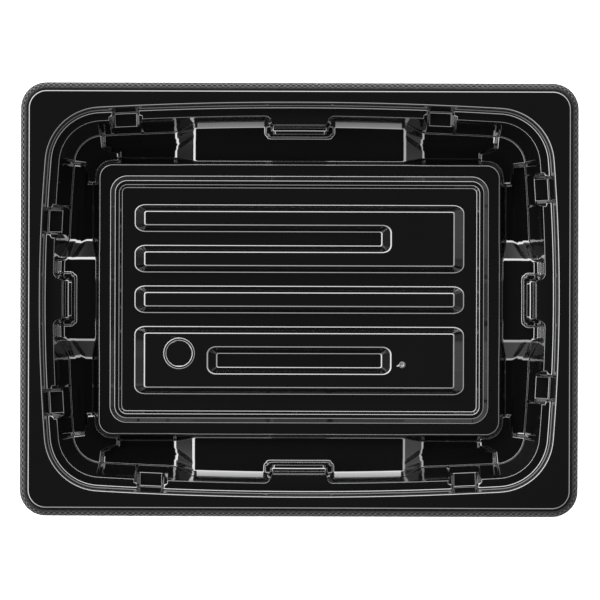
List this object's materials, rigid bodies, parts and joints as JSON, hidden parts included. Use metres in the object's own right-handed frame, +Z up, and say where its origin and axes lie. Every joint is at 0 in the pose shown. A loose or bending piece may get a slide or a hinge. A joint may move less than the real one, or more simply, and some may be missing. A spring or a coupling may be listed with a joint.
{
  "type": "thermoformed food tray",
  "caption": "Shallow rectangular one-piece thermoformed tray with a stepped well, a ribbed floor, a ledge for a lid and a rolled-down knurled rim.",
  "frame": {"origin": "middle of the footprint, on the plane that the feet stand on", "axes": "+X along the long side, +Y along the short side, +Z up out of the open well"},
  "size_m": [0.2, 0.1554, 0.03],
  "materials": {
    "black_plastic": "near-black high-gloss sheet, satin on the knurled edge"
  },
  "bodies": {
    "root": {"tray": "black_plastic"}
  },
  "joints": []
}
